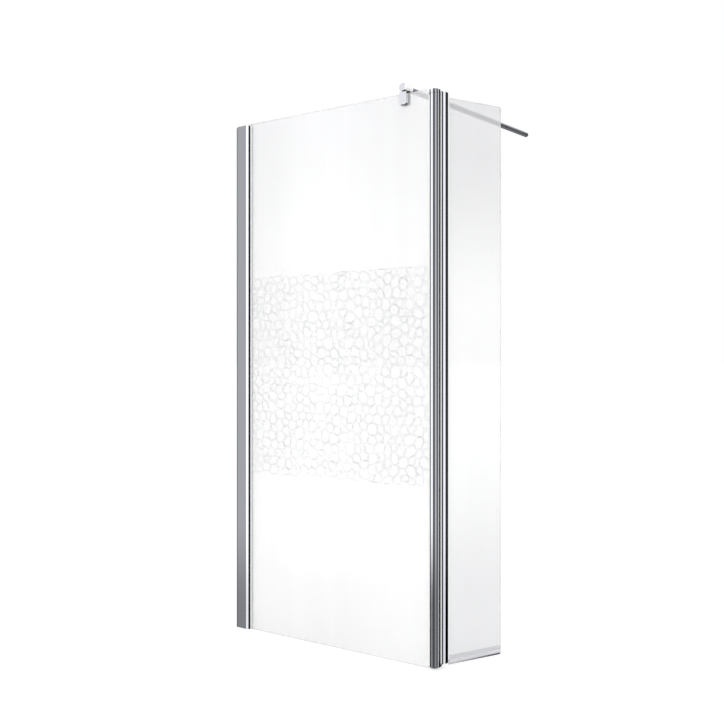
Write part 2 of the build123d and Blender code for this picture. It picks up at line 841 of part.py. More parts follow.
# Swivel of the bar: a headed pin held in the clamp, a washer, and the holder that turns on it
with BuildPart() as swivel_pin:
    with BuildSketch(pin_line.offset(pane_height + clamp_pad)):
        Circle(swivel_head_diameter / 2)
    extrude(amount=swivel_head)
    with BuildSketch(pin_line.offset(pane_height + clamp_pad)):
        Circle(swivel_diameter / 2)
    extrude(amount=clamp_bridge + swivel_reach)
    chamfer(edges().group_by(Axis.Z)[-1], length=pin_chamfer)
finish(swivel_pin, "swivel_pin")

with BuildPart() as washer:
    with BuildSketch(pin_line.offset(clamp_top)):
        Circle(neck_diameter / 2)
        Circle(swivel_diameter / 2, mode=Mode.SUBTRACT)
    extrude(amount=swivel_washer)
finish(washer, "swivel_washer")

bar_line = Plane(origin=(clamp_place, 0, bar_axis_z), x_dir=(1, 0, 0), z_dir=(0, 1, 0))
set_screw_y = (socket_floor + holder_back) / 2
with BuildPart() as bar_holder:
    with BuildSketch(bar_line.offset(-holder_front)):
        Circle(holder_diameter / 2)
    extrude(amount=holder_front + holder_back)
    chamfer(edges().filter_by(GeomType.CIRCLE), length=holder_edge)
    with BuildSketch(pin_line.offset(neck_bottom)):
        Circle(neck_diameter / 2)
    extrude(amount=bar_axis_z - neck_bottom)
    with BuildSketch(pin_line.offset(neck_bottom)):
        Circle(swivel_diameter / 2 + pin_clearance)
    extrude(amount=swivel_reach - (neck_bottom - clamp_top) + pin_clearance, mode=Mode.SUBTRACT)
    with BuildSketch(bar_line.offset(socket_floor)):
        Circle(bar_radius + socket_clearance)
    extrude(amount=socket_depth, mode=Mode.SUBTRACT)
    with BuildSketch(Plane(origin=(clamp_place, set_screw_y, bar_axis_z), z_dir=(0, 0, -1))):
        Circle(set_screw_diameter / 2)
    extrude(amount=holder_diameter, mode=Mode.SUBTRACT)
    with BuildSketch(Plane(origin=(clamp_place, 0, bar_axis_z), z_dir=(-1, 0, 0))):
        Circle(set_screw_diameter / 2)
    extrude(amount=holder_diameter, mode=Mode.SUBTRACT)
finish(bar_holder, "bar_holder")

with BuildPart() as holder_screws:
    bar_screw_length = holder_diameter / 2 - bar_radius - socket_clearance
    grub_screw(
        Plane(origin=(clamp_place, set_screw_y, bar_axis_z - holder_diameter / 2), z_dir=(0, 0, 1)),
        set_screw_diameter,
        bar_screw_length,
        set_screw_key,
    )
    grub_screw(
        Plane(origin=(clamp_place - holder_diameter / 2 + pad_thickness, 0, bar_axis_z), z_dir=(1, 0, 0)),
        set_screw_diameter,
        holder_diameter / 2 - pad_thickness - swivel_diameter / 2 - wiper_gap,
        set_screw_key,
    )
finish(holder_screws, "holder_screws")

with BuildPart() as stabiliser_bar:
    bar_start = socket_floor + slide_clearance
    with BuildSketch(bar_line.offset(bar_start)):
        Circle(bar_radius)
        Circle(bar_radius - bar_wall, mode=Mode.SUBTRACT)
    extrude(amount=bar_far_end - end_plug_flange - bar_start)
finish(stabiliser_bar, "stabiliser_bar")

with BuildPart() as bar_end:
    with BuildSketch(bar_line.offset(bar_far_end)):
        Circle(bar_radius)
    extrude(amount=-end_plug_flange)
    chamfer(edges().group_by(Axis.Y)[-1], length=end_plug_edge)
    with BuildSketch(bar_line.offset(bar_far_end - end_plug_flange)):
        Circle(bar_radius - bar_wall - end_plug_clearance)
    extrude(amount=-end_plug_spigot)
    with BuildSketch(bar_line.offset(bar_far_end)):
        Circle(end_screw_diameter / 2)
    extrude(amount=-end_screw_depth, mode=Mode.SUBTRACT)
finish(bar_end, "bar_end_plug")
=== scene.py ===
import math

import bpy
from mathutils import Matrix, Vector


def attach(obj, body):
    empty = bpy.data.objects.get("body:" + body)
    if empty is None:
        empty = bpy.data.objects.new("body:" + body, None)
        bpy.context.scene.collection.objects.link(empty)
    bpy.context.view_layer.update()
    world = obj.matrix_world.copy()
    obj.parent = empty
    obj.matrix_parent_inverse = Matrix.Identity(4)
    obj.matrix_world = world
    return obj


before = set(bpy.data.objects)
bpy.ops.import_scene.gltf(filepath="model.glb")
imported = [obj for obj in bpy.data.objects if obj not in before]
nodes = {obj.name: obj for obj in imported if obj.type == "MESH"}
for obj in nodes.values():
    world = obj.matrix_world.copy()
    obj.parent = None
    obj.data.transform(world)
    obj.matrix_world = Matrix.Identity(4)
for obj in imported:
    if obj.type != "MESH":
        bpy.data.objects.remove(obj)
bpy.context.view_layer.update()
scene = bpy.context.scene


# Wall channel: a U-shaped aluminium extrusion, etched to a dull satin and screwed to the tiles. The carrier
# slides over it to take up a wall that is out of plumb.
def linear(hex_colour):
    """An sRGB hex colour as linear red, green, blue and alpha."""
    parts = [int(hex_colour[i:i + 2], 16) / 255 for i in (0, 2, 4)]
    return tuple(c / 12.92 if c <= 0.04045 else ((c + 0.055) / 1.055) ** 2.4 for c in parts) + (1.0,)


def darker(hex_colour, share):
    """The linear value of a hex colour, dimmed to a share of itself."""
    return tuple(c * share for c in linear(hex_colour)[:3]) + (1.0,)


def new_finish(name):
    """A material with a Principled shader wired to its output, as (material, tree, shader)."""
    material = bpy.data.materials.new(name)
    material.use_nodes = True
    tree = material.node_tree
    return material, tree, tree.nodes["Principled BSDF"]


def add_node(tree, kind, settings=(), inputs=()):
    """Adds a node, sets its properties, and gives each input a value or the socket that feeds it."""
    node = tree.nodes.new(kind)
    for key, value in dict(settings).items():
        setattr(node, key, value)
    for key, value in dict(inputs).items():
        if isinstance(value, bpy.types.NodeSocket):
            tree.links.new(value, node.inputs[key])
        else:
            node.inputs[key].default_value = value
    return node


def dress(names, material):
    """Gives CAD nodes a finish."""
    for name in names:
        nodes[name].data.materials.clear()
        nodes[name].data.materials.append(material)


def lined_metal(name, colour, roughness, line_pitch, along, rise, spread=0.25):
    """Metal with lines along one axis (0, 1 or 2), left by drawing, turning or polishing.

    Real lines are finer than a pixel, so their pitch, in metres, is as coarse as it needs to be to show.
    """
    material, tree, shader = new_finish(name)
    shader.inputs["Metallic"].default_value = 1.0
    coords = add_node(tree, "ShaderNodeTexCoord")
    scale = [1 / line_pitch] * 3
    scale[along] = 1.5
    place = add_node(tree, "ShaderNodeMapping", inputs={"Vector": coords.outputs["Object"], "Scale": scale})
    lines = add_node(
        tree, "ShaderNodeTexNoise", inputs={"Vector": place.outputs[0], "Scale": 1.0, "Detail": 2.0}
    )
    rough = add_node(
        tree,
        "ShaderNodeMapRange",
        inputs={
            "Value": lines.outputs[0],
            "From Min": 0.3,
            "From Max": 0.7,
            "To Min": roughness * (1 - spread),
            "To Max": roughness * (1 + spread),
        },
    )
    shade = add_node(
        tree,
        "ShaderNodeMix",
        settings={"data_type": "RGBA"},
        inputs={0: lines.outputs[0], 6: linear(colour), 7: darker(colour, 0.96)},
    )
    bump = add_node(
        tree, "ShaderNodeBump", inputs={"Height": lines.outputs[0], "Strength": 0.2, "Distance": rise}
    )
    tree.links.new(shade.outputs[2], shader.inputs["Base Color"])
    tree.links.new(rough.outputs[0], shader.inputs["Roughness"])
    tree.links.new(bump.outputs[0], shader.inputs["Normal"])
    return material


# the dull grain of the etch, and a dark grey colour that is painted shade of its recess, set the channel
# apart from the bright carrier beside it
satin_aluminium = lined_metal("satin_etched_aluminium", "606367", 0.32, 0.0009, 2, 0.000006)
dress(["wall_profile"], satin_aluminium)

# Carrier profile, its cap and its locking screws: a bright-dipped and anodised extrusion, closed by a
# chrome-plated cap pegged in its screw ports. Three screws lock it to square nuts inside the channel.

# the dip leaves a mirror with the faintest drawing lines, so the faces show clean upright bands
bright_aluminium = lined_metal("bright_anodised_aluminium", "E6E8EC", 0.045, 0.0016, 2, 0.0000015)


def paint_over(tree, where, paint):
    """Lays a paint over a finish's own colour as far as where says, and returns the new colour's socket."""
    base = tree.nodes["Principled BSDF"].inputs["Base Color"]
    layer = add_node(
        tree,
        "ShaderNodeMix",
        settings={"data_type": "RGBA"},
        inputs={0: where, 6: base.links[0].from_socket, 7: paint},
    )
    tree.links.new(layer.outputs[2], base)
    return layer.outputs[2]


def cover_metal(tree, where):
    """Takes the look of metal from a finish as far as where says."""
    bare = add_node(tree, "ShaderNodeMath", settings={"operation": "SUBTRACT"}, inputs={0: 1.0, 1: where})
    tree.links.new(bare.outputs[0], tree.nodes["Principled BSDF"].inputs["Metallic"])


def painted_mouth(metal, name, facing):
    """A copy of a metal whose faces towards the pane are painted black in front, as painted shade, and white
    behind, as painted light.
    """
    material = metal.copy()
    material.name = name
    tree = material.node_tree
    coords = add_node(tree, "ShaderNodeTexCoord")
    towards = add_node(
        tree,
        "ShaderNodeVectorMath",
        settings={"operation": "DOT_PRODUCT"},
        inputs={0: coords.outputs["Normal"], 1: facing},
    )
    mouth = add_node(
        tree,
        "ShaderNodeMapRange",
        inputs={"Value": towards.outputs["Value"], "From Min": 0.35, "From Max": 0.5},
    )
    split = add_node(tree, "ShaderNodeSeparateXYZ", inputs={0: coords.outputs["Object"]})
    behind = add_node(
        tree, "ShaderNodeMath", settings={"operation": "GREATER_THAN"}, inputs={0: split.outputs["Y"], 1: 0.0}
    )
    # black in front is painted shade, white behind is painted light
    seal = add_node(
        tree,
        "ShaderNodeMix",
        settings={"data_type": "RGBA"},
        inputs={0: behind.outputs[0], 6: linear("101113"), 7: linear("F6F6F6")},
    )
    white = add_node(
        tree,
        "ShaderNodeMath",
        settings={"operation": "MULTIPLY"},
        inputs={0: mouth.outputs[0], 1: behind.outputs[0]},
    )
    paint_over(tree, mouth.outputs[0], seal.outputs[2])
    cover_metal(tree, white.outputs[0])
    return material


# painted shade: the black in front is the one dark line on the wall side, and stays metallic so that it
# doesn't mirror the pale pane beside it, while the painted white behind keeps the glass pale
carrier_metal = painted_mouth(bright_aluminium, "bright_aluminium_lined_mouth", (1, 0, 0))
dress(["carrier_profile"], carrier_metal)


def plated(name, colour, roughness, ripple):
    """Chrome plate over a polished casting, whose skin ripples a little, by ripple metres."""
    material, tree, shader = new_finish(name)
    shader.inputs["Metallic"].default_value = 1.0
    coords = add_node(tree, "ShaderNodeTexCoord")
    waves = 90.0  # to the metre, so that each is about 11 mm across
    skin = add_node(
        tree, "ShaderNodeTexNoise", inputs={"Vector": coords.outputs["Object"], "Scale": waves, "Detail": 1.0}
    )
    shade = add_node(
        tree,
        "ShaderNodeMix",
        settings={"data_type": "RGBA"},
        inputs={0: skin.outputs[0], 6: linear(colour), 7: darker(colour, 0.94)},
    )
    haze = add_node(
        tree,
        "ShaderNodeMapRange",
        inputs={"Value": skin.outputs[0], "To Min": roughness * 0.6, "To Max": roughness * 1.4},
    )
    bump = add_node(
        tree, "ShaderNodeBump", inputs={"Height": skin.outputs[0], "Strength": 0.3, "Distance": ripple}
    )
    tree.links.new(shade.outputs[2], shader.inputs["Base Color"])
    tree.links.new(haze.outputs[0], shader.inputs["Roughness"])
    tree.links.new(bump.outputs[0], shader.inputs["Normal"])
    return material


def fill_ramp(ramp, stops):
    """Gives a colour ramp its stops, which are pairs of a place and a colour, in rising order."""
    while len(ramp.elements) < len(stops):
        ramp.elements.new(0.5)
    for element, (place, colour) in zip(ramp.elements, stops):
        element.position = place
        element.color = colour


def shade_by_slope(material, stops, flank):
    """Paints shade into a finish's tone by how far a face looks up, from 0 for straight down to 1 for
    straight up.

    The faces that look along X get a painted highlight, whitened by the share that flank gives.
    """
    tree = material.node_tree
    coords = add_node(tree, "ShaderNodeTexCoord")
    split = add_node(tree, "ShaderNodeSeparateXYZ", inputs={0: coords.outputs["Normal"]})
    up = add_node(
        tree, "ShaderNodeMapRange", inputs={"Value": split.outputs["Z"], "From Min": -1.0, "From Max": 1.0}
    )
    slope = add_node(tree, "ShaderNodeValToRGB", inputs={"Fac": up.outputs[0]})
    fill_ramp(slope.color_ramp, [(place, (level, level, level, 1)) for place, level in stops])
    sideways = add_node(
        tree, "ShaderNodeMath", settings={"operation": "ABSOLUTE"}, inputs={0: split.outputs["X"]}
    )
    white = add_node(
        tree,
        "ShaderNodeMapRange",
        inputs={"Value": sideways.outputs[0], "From Min": 0.35, "From Max": 0.6, "To Max": flank},
    )
    skin = paint_over(tree, white.outputs[0], linear("FFFFFF"))
    tone = add_node(
        tree,
        "ShaderNodeMix",
        settings={"data_type": "RGBA", "blend_type": "MULTIPLY"},
        inputs={0: 1.0, 6: skin, 7: slope.outputs[0]},
    )
    tree.links.new(tone.outputs[2], tree.nodes["Principled BSDF"].inputs["Base Color"])
    cover_metal(tree, white.outputs[0])
    return material


# the orange-peel ripple of about a centimetre bends the reflections on the castings, whose undersides are
# darkened by painted shade
chrome = shade_by_slope(
    plated("chrome_plated_zinc", "E9EAED", 0.04, 0.00004),
    [(0.0, 0.05), (0.2, 0.05), (0.3, 1.0), (1.0, 1.0)],
    0.0,
)
# the holder's flanks are polished softer, and a painted highlight keeps them white between a black underside
# and a grey crown, which are painted shade
holder_chrome = shade_by_slope(
    plated("chrome_plated_zinc_holder", "DEDFE2", 0.08, 0.00004),
    [(0.0, 0.01), (0.13, 0.01), (0.2, 1.0), (0.78, 1.0), (0.88, 0.35), (1.0, 0.2)],
    0.97,
)
# plate over plastic comes out a little hazier than over a casting
plated_plastic = plated("chrome_plated_plastic", "DFE1E6", 0.07, 0.00003)
dress(["carrier_cap_top", "lock_covers"], plated_plastic)
# turned heads catch the light in fine rings, which read as a soft grey
steel = lined_metal("stainless_steel_screws", "B4B6B9", 0.24, 0.0004, 1, 0.000003)
dress(["lock_screws"], steel)
# plain zinc is matt and blotchy, with a cold grey
zinc = lined_metal("zinc_plated_steel", "A9ACA8", 0.36, 0.0006, 0, 0.000006, spread=0.4)
dress(["lock_nuts"], zinc)

# Fixed pane and its glazing strips: toughened glass with polished edges, held in the carrier by two
# push-in strips of clear PVC, whose lips show as a white line beside the metal.
pane_height = 1.9
clearness = 0.62
shadow_tint = "FAFCFB"


def pane_glass(name, shade_ramp, through, edge_axis):
    """Toughened glass, clear but for a milky veil, which painted shade deepens towards top and bottom.

    The edges, which face away from edge_axis, are duller from their polishing.
    """
    material, tree, shader = new_finish(name)
    coords = add_node(tree, "ShaderNodeTexCoord")
    split = add_node(tree, "ShaderNodeSeparateXYZ", inputs={0: coords.outputs["Object"]})
    height = add_node(
        tree, "ShaderNodeMapRange", inputs={"Value": split.outputs["Z"], "From Max": pane_height}
    )
    veil_painted_shade = add_node(tree, "ShaderNodeValToRGB", inputs={"Fac": height.outputs[0]})
    veil_painted_shade.color_ramp.interpolation = "EASE"
    fill_ramp(veil_painted_shade.color_ramp, [(place, linear(tint)) for place, tint in shade_ramp])
    # faint streaks some 70 mm wide lean across the pane
    slant = add_node(
        tree,
        "ShaderNodeMapping",
        inputs={
            "Vector": coords.outputs["Object"],
            "Rotation": (0, math.radians(35), 0),
            "Scale": (14, 14, 0.6),
        },
    )
    streaks = add_node(
        tree, "ShaderNodeTexNoise", inputs={"Vector": slant.outputs[0], "Scale": 1.0, "Detail": 2.0}
    )
    streak_level = add_node(
        tree,
        "ShaderNodeMapRange",
        inputs={"Value": streaks.outputs[0], "From Min": 0.35, "From Max": 0.65, "To Min": 0.985},
    )
    veil = add_node(
        tree,
        "ShaderNodeMix",
        settings={"data_type": "RGBA", "blend_type": "MULTIPLY"},
        inputs={0: 1.0, 6: veil_painted_shade.outputs[0], 7: streak_level.outputs[0]},
    )
    across = add_node(
        tree,
        "ShaderNodeVectorMath",
        settings={"operation": "DOT_PRODUCT"},
        inputs={0: coords.outputs["Normal"], 1: edge_axis},
    )
    facing = add_node(
        tree, "ShaderNodeMath", settings={"operation": "ABSOLUTE"}, inputs={0: across.outputs["Value"]}
    )
    edge = add_node(
        tree,
        "ShaderNodeMapRange",
        inputs={"Value": facing.outputs[0], "From Min": 0.9, "From Max": 0.6},
    )
    body = add_node(
        tree,
        "ShaderNodeMix",
        settings={"data_type": "RGBA"},
        inputs={0: edge.outputs[0], 6: veil.outputs[2], 7: linear("B9B9C4")},
    )
    tree.links.new(body.outputs[2], shader.inputs["Base Color"])
    shader.inputs["Transmission Weight"].default_value = through
    shader.inputs["Roughness"].default_value = 0.0
    shader.inputs["IOR"].default_value = 1.52
    return material, tree, shader


def let_lamps_through(material, tree, shader, tint):
    """Mixes in a see-through shader for shadow rays, so that the lamps reach what is behind."""
    path = add_node(tree, "ShaderNodeLightPath")
    through = add_node(tree, "ShaderNodeBsdfTransparent", inputs={"Color": linear(tint)})
    mix = add_node(
        tree,
        "ShaderNodeMixShader",
        inputs={0: path.outputs["Is Shadow Ray"], 1: shader.outputs[0], 2: through.outputs[0]},
    )
    tree.links.new(mix.outputs[0], tree.nodes["Material Output"].inputs["Surface"])
    return material


# the veil, with its painted shade towards top and bottom, and the grey of the polished edges are all that
# gives the pane away against white
main_ramp = [(0.0, "FAFAFA"), (0.3, "FEFEFE"), (0.7, "FEFEFE"), (1.0, "F8F8F9")]
fixed_glass = let_lamps_through(
    *pane_glass("toughened_glass_fixed", main_ramp, clearness, (0, 1, 0)), shadow_tint
)
dress(["main_glass"], fixed_glass)


def flexible(name, colour, through, roughness, line_pitch, along):
    """Extruded soft plastic with faint die lines along its length, drawn coarse enough to show."""
    material, tree, shader = new_finish(name)
    coords = add_node(tree, "ShaderNodeTexCoord")
    scale = [1 / line_pitch] * 3
    scale[along] = 1.0
    place = add_node(tree, "ShaderNodeMapping", inputs={"Vector": coords.outputs["Object"], "Scale": scale})
    lines = add_node(tree, "ShaderNodeTexNoise", inputs={"Vector": place.outputs[0], "Scale": 1.0})
    shade = add_node(
        tree,
        "ShaderNodeMix",
        settings={"data_type": "RGBA"},
        inputs={0: lines.outputs[0], 6: linear(colour), 7: darker(colour, 0.9)},
    )
    tree.links.new(shade.outputs[2], shader.inputs["Base Color"])
    shader.inputs["Transmission Weight"].default_value = through
    shader.inputs["Roughness"].default_value = roughness
    shader.inputs["IOR"].default_value = 1.4
    return let_lamps_through(material, tree, shader, colour)


# cloudy in depth, so the lips read white rather than clear
soft_pvc = flexible("clear_pvc_strip", "FFFFFF", 0.08, 0.4, 0.0012, 2)
dress(["carrier_glazing_strips"], soft_pvc)

# Band of pebbles printed on the outer face of the fixed pane: rounded outlines in pale grey enamel, fired
# on as the glass is toughened. The layout is generic: a shuffled net of cells, each shrunk and rounded.


def tree_input(tree, name, kind, value):
    """Adds a named input to a geometry node tree and returns its identifier."""
    socket = tree.interface.new_socket(name, in_out="INPUT", socket_type=kind)
    if value is not None:
        socket.default_value = value
    return socket.identifier


def pebble_tree():
    """The node tree that draws the pebble outlines, and the identifier of its material input."""
    tree = bpy.data.node_groups.new("pebble_band", "GeometryNodeTree")
    tree.interface.new_socket("Geometry", in_out="OUTPUT", socket_type="NodeSocketGeometry")
    for name, kind, value in (
        ("Band width", "NodeSocketFloat", 0.800),
        ("Band height", "NodeSocketFloat", 0.728),
        ("Pebbles across", "NodeSocketInt", 27),
        ("Pebbles up", "NodeSocketInt", 24),
        ("Shuffle", "NodeSocketFloat", 0.0145),
        ("Smallest pebble", "NodeSocketFloat", 0.80),
        ("Largest pebble", "NodeSocketFloat", 0.96),
        ("Outline width", "NodeSocketFloat", 0.0015),
        ("Seed", "NodeSocketInt", 7),
    ):
        tree_input(tree, name, kind, value)
    finish_input = tree_input(tree, "Enamel", "NodeSocketMaterial", None)
    given = tree.nodes.new("NodeGroupInput").outputs
    # the net starts a little wider than the band, so that what is pushed back in makes straight sides
    oversize = 1.05
    half_width, half_height, net_width, net_height, least, half_line, half_back = (
        add_node(
            tree, "ShaderNodeMath", settings={"operation": "MULTIPLY"}, inputs={0: given[size], 1: share}
        ).outputs[0]
        for size, share in (
            ("Band width", 0.5),
            ("Band height", 0.5),
            ("Band width", oversize),
            ("Band height", oversize),
            ("Shuffle", -1.0),
            ("Outline width", 0.5),
            ("Outline width", -0.5),
        )
    )
    net = add_node(
        tree,
        "GeometryNodeMeshGrid",
        inputs={
            "Size X": net_width,
            "Size Y": net_height,
            "Vertices X": given["Pebbles across"],
            "Vertices Y": given["Pebbles up"],
        },
    )
    low = add_node(tree, "ShaderNodeCombineXYZ", inputs={0: least, 1: least})
    high = add_node(tree, "ShaderNodeCombineXYZ", inputs={0: given["Shuffle"], 1: given["Shuffle"]})
    jog = add_node(
        tree,
        "FunctionNodeRandomValue",
        settings={"data_type": "FLOAT_VECTOR"},
        inputs={0: low.outputs[0], 1: high.outputs[0], "Seed": given["Seed"]},
    )
    shuffled = add_node(
        tree, "GeometryNodeSetPosition", inputs={"Geometry": net.outputs[0], "Offset": jog.outputs[0]}
    )
    crossed = add_node(
        tree,
        "GeometryNodeTriangulate",
        settings={"quad_method": "SHORTEST_DIAGONAL"},
        inputs={0: shuffled.outputs[0]},
    )
    cells = add_node(
        tree, "GeometryNodeDualMesh", inputs={"Mesh": crossed.outputs[0], "Keep Boundaries": True}
    )
    corner = add_node(tree, "ShaderNodeCombineXYZ", inputs={0: half_width, 1: half_height, 2: 1.0})
    other = add_node(
        tree,
        "ShaderNodeVectorMath",
        settings={"operation": "SCALE"},
        inputs={0: corner.outputs[0], "Scale": -1.0},
    )
    here = add_node(tree, "GeometryNodeInputPosition")
    capped = add_node(
        tree,
        "ShaderNodeVectorMath",
        settings={"operation": "MINIMUM"},
        inputs={0: here.outputs[0], 1: corner.outputs[0]},
    )
    held = add_node(
        tree,
        "ShaderNodeVectorMath",
        settings={"operation": "MAXIMUM"},
        inputs={0: capped.outputs[0], 1: other.outputs[0]},
    )
    kept = add_node(
        tree, "GeometryNodeSetPosition", inputs={"Geometry": cells.outputs[0], "Position": held.outputs[0]}
    )
    # the cells that are squeezed flat against the sides are left out
    area = add_node(tree, "GeometryNodeInputMeshFaceArea")
    least_area = 0.00038
    sliver = add_node(
        tree,
        "FunctionNodeCompare",
        settings={"operation": "LESS_THAN"},
        inputs={0: area.outputs[0], 1: least_area},
    )
    whole = add_node(
        tree,
        "GeometryNodeDeleteGeometry",
        settings={"domain": "FACE"},
        inputs={"Geometry": kept.outputs[0], "Selection": sliver.outputs[0]},
    )
    apart = add_node(tree, "GeometryNodeSplitEdges", inputs={"Mesh": whole.outputs[0]})
    size = add_node(
        tree,
        "FunctionNodeRandomValue",
        settings={"data_type": "FLOAT"},
        inputs={2: given["Smallest pebble"], 3: given["Largest pebble"], "Seed": given["Seed"]},
    )
    drawn_in = add_node(
        tree,
        "GeometryNodeScaleElements",
        settings={"domain": "FACE"},
        inputs={"Geometry": apart.outputs[0], "Scale": size.outputs[1]},
    )
    rims = add_node(tree, "GeometryNodeMeshToCurve", inputs={"Mesh": drawn_in.outputs[0]})
    corner_radius = 0.007
    rounded = add_node(
        tree,
        "GeometryNodeFilletCurve",
        settings={"mode": "POLY"},
        inputs={"Curve": rims.outputs[0], "Count": 4, "Radius": corner_radius, "Limit Radius": True},
    )
    upright = add_node(
        tree, "GeometryNodeSetCurveNormal", settings={"mode": "Z_UP"}, inputs={"Curve": rounded.outputs[0]}
    )
    pen_start = add_node(tree, "ShaderNodeCombineXYZ", inputs={0: half_back})
    pen_end = add_node(tree, "ShaderNodeCombineXYZ", inputs={0: half_line})
    pen = add_node(
        tree,
        "GeometryNodeCurvePrimitiveLine",
        inputs={"Start": pen_start.outputs[0], "End": pen_end.outputs[0]},
    )
    drawn = add_node(
        tree,
        "GeometryNodeCurveToMesh",
        inputs={"Curve": upright.outputs[0], "Profile Curve": pen.outputs[0]},
    )
    real = add_node(tree, "GeometryNodeRealizeInstances", inputs={0: drawn.outputs[0]})
    dressed = add_node(
        tree,
        "GeometryNodeSetMaterial",
        inputs={"Geometry": real.outputs[0], "Material": given["Enamel"]},
    )
    end = tree.nodes.new("NodeGroupOutput")
    tree.links.new(dressed.outputs[0], end.inputs[0])
    return tree, finish_input


enamel, enamel_tree, enamel_shader = new_finish("fired_grey_enamel")
enamel_coords = add_node(enamel_tree, "ShaderNodeTexCoord")
# the print is thin and uneven, darker in strokes some 20 mm long, which makes the outlines flicker
strokes = add_node(
    enamel_tree,
    "ShaderNodeTexNoise",
    inputs={"Vector": enamel_coords.outputs["Object"], "Scale": 45.0, "Detail": 3.0},
)
stroke_level = add_node(
    enamel_tree, "ShaderNodeMapRange", inputs={"Value": strokes.outputs[0], "From Min": 0.45, "From Max": 0.7}
)
stroke_tone = add_node(
    enamel_tree,
    "ShaderNodeMix",
    settings={"data_type": "RGBA"},
    inputs={0: stroke_level.outputs[0], 6: linear("D6D8D9"), 7: linear("A2A4A7")},
)
enamel_tree.links.new(stroke_tone.outputs[2], enamel_shader.inputs["Base Color"])
enamel_shader.inputs["Roughness"].default_value = 0.55


def settled(obj, place):
    """A plain mesh of what the modifiers make, moved to its place, as a new object at the origin."""
    scene.collection.objects.link(obj)
    evaluated = obj.evaluated_get(bpy.context.evaluated_depsgraph_get())
    mesh = bpy.data.meshes.new_from_object(evaluated)
    name = obj.name
    bpy.data.objects.remove(obj)
    mesh.transform(place)
    made = bpy.data.objects.new(name, mesh)
    mesh.name = name
    scene.collection.objects.link(made)
    return made


# the print lies 0.05 mm proud of the outer face of the 8 mm glass
band_middle = (0.468, -0.00405, 0.956)
band_tree, enamel_input = pebble_tree()
starter = bpy.data.objects.new("pebble_band", bpy.data.meshes.new("pebble_band_start"))
modifier = starter.modifiers.new("pebbles", "NODES")
modifier.node_group = band_tree
modifier[enamel_input] = enamel
pebbles = settled(starter, Matrix.Translation(band_middle) @ Matrix.Rotation(math.pi / 2, 4, "X"))
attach(pebbles, "fixed_panel")

# Corner post with its plugs and glazing strips: a round bright extrusion that slides on the pane's free
# edge, closed at both ends by plated plugs.
dress(["corner_post"], bright_aluminium)
dress(["post_plug_top", "post_plug_bottom"], plated_plastic)
dress(["post_glazing_strips"], soft_pvc)


# Hinge of the flipper: ground steel pins turning in acetal bushes, pressed into a cap on top of the post
# and a foot under it, both cast in zinc and chrome-plated.
def moulded(name, colour, roughness, grain):
    """Moulded plastic or rubber with a grain, in metres, that is drawn coarse enough to show."""
    material, tree, shader = new_finish(name)
    coords = add_node(tree, "ShaderNodeTexCoord")
    noise = add_node(
        tree,
        "ShaderNodeTexNoise",
        inputs={"Vector": coords.outputs["Object"], "Scale": 1 / grain, "Detail": 2.0},
    )
    shade = add_node(
        tree,
        "ShaderNodeMix",
        settings={"data_type": "RGBA"},
        inputs={0: noise.outputs[0], 6: linear(colour), 7: darker(colour, 0.92)},
    )
    bump = add_node(
        tree, "ShaderNodeBump", inputs={"Height": noise.outputs[0], "Strength": 0.3, "Distance": grain * 0.05}
    )
    tree.links.new(shade.outputs[2], shader.inputs["Base Color"])
    tree.links.new(bump.outputs[0], shader.inputs["Normal"])
    shader.inputs["Roughness"].default_value = roughness
    return material


# acetal is waxy and slightly warm next to the metal
acetal = moulded("natural_acetal", "ECEAE2", 0.38, 0.001)
dress(["hinge_bush_bottom", "hinge_bush_top"], acetal)
# grinding leaves the pins bright, with a close grain across them
ground_steel = lined_metal("ground_steel_pins", "C3C5C8", 0.16, 0.0003, 0, 0.000002)
dress(["hinge_pin_top", "hinge_pin_bottom"], ground_steel)
dress(["top_pivot_cap", "bottom_pivot_arm"], chrome)
dress(["pivot_screw_top", "pivot_screw_bottom"], steel)

# Flipper profile and its wiper strips: a bright extrusion with a flat face between two slanted ones, and
# two clear strips that close the gap to the post.
dress(["flipper_profile"], bright_aluminium)
# the foot of each strip, in the gap beside the post, is painted dark as painted shade, its outer lip white
hinge_axis = (0.885, 0.0, 0.0)
foot_end = 0.0196
lip_start = 0.0202
wiper_pvc = soft_pvc.copy()
wiper_pvc.name = "clear_pvc_wiper"
wiper_tree = wiper_pvc.node_tree
wiper_coords = add_node(wiper_tree, "ShaderNodeTexCoord")
wiper_split = add_node(wiper_tree, "ShaderNodeSeparateXYZ", inputs={0: wiper_coords.outputs["Object"]})
wiper_flat = add_node(
    wiper_tree, "ShaderNodeCombineXYZ", inputs={0: wiper_split.outputs["X"], 1: wiper_split.outputs["Y"]}
)
from_axis = add_node(
    wiper_tree,
    "ShaderNodeVectorMath",
    settings={"operation": "DISTANCE"},
    inputs={0: wiper_flat.outputs[0], 1: hinge_axis},
)
painted_foot_shade = add_node(
    wiper_tree,
    "ShaderNodeMapRange",
    inputs={"Value": from_axis.outputs["Value"], "From Min": lip_start, "From Max": foot_end},
)
paint_over(wiper_tree, painted_foot_shade.outputs[0], linear("3C3D41"))
dress(["flipper_wiper_strips"], wiper_pvc)

# Flipper pane on its setting block, its glazing strips and its drip seal: toughened glass that stands on
# hard rubber in the profile, with a clear PVC section pushed on its lower edge.

# its veil's painted shade is greyer towards both ends than the fixed pane's
flipper_turn = math.radians(70)
flipper_normal = (math.sin(flipper_turn), -math.cos(flipper_turn), 0)
flipper_ramp = [
    (0.0, "ECECED"), (0.12, "EDEDEE"), (0.42, "FCFCFC"), (0.62, "FCFCFC"), (0.9, "EBEBEC"), (1.0, "EAEAEB")
]
flipper_glass = let_lamps_through(
    *pane_glass("toughened_glass_flipper", flipper_ramp, clearness, flipper_normal), shadow_tint
)
dress(["flipper_glass"], flipper_glass)
dress(["flipper_glazing_strips"], soft_pvc)
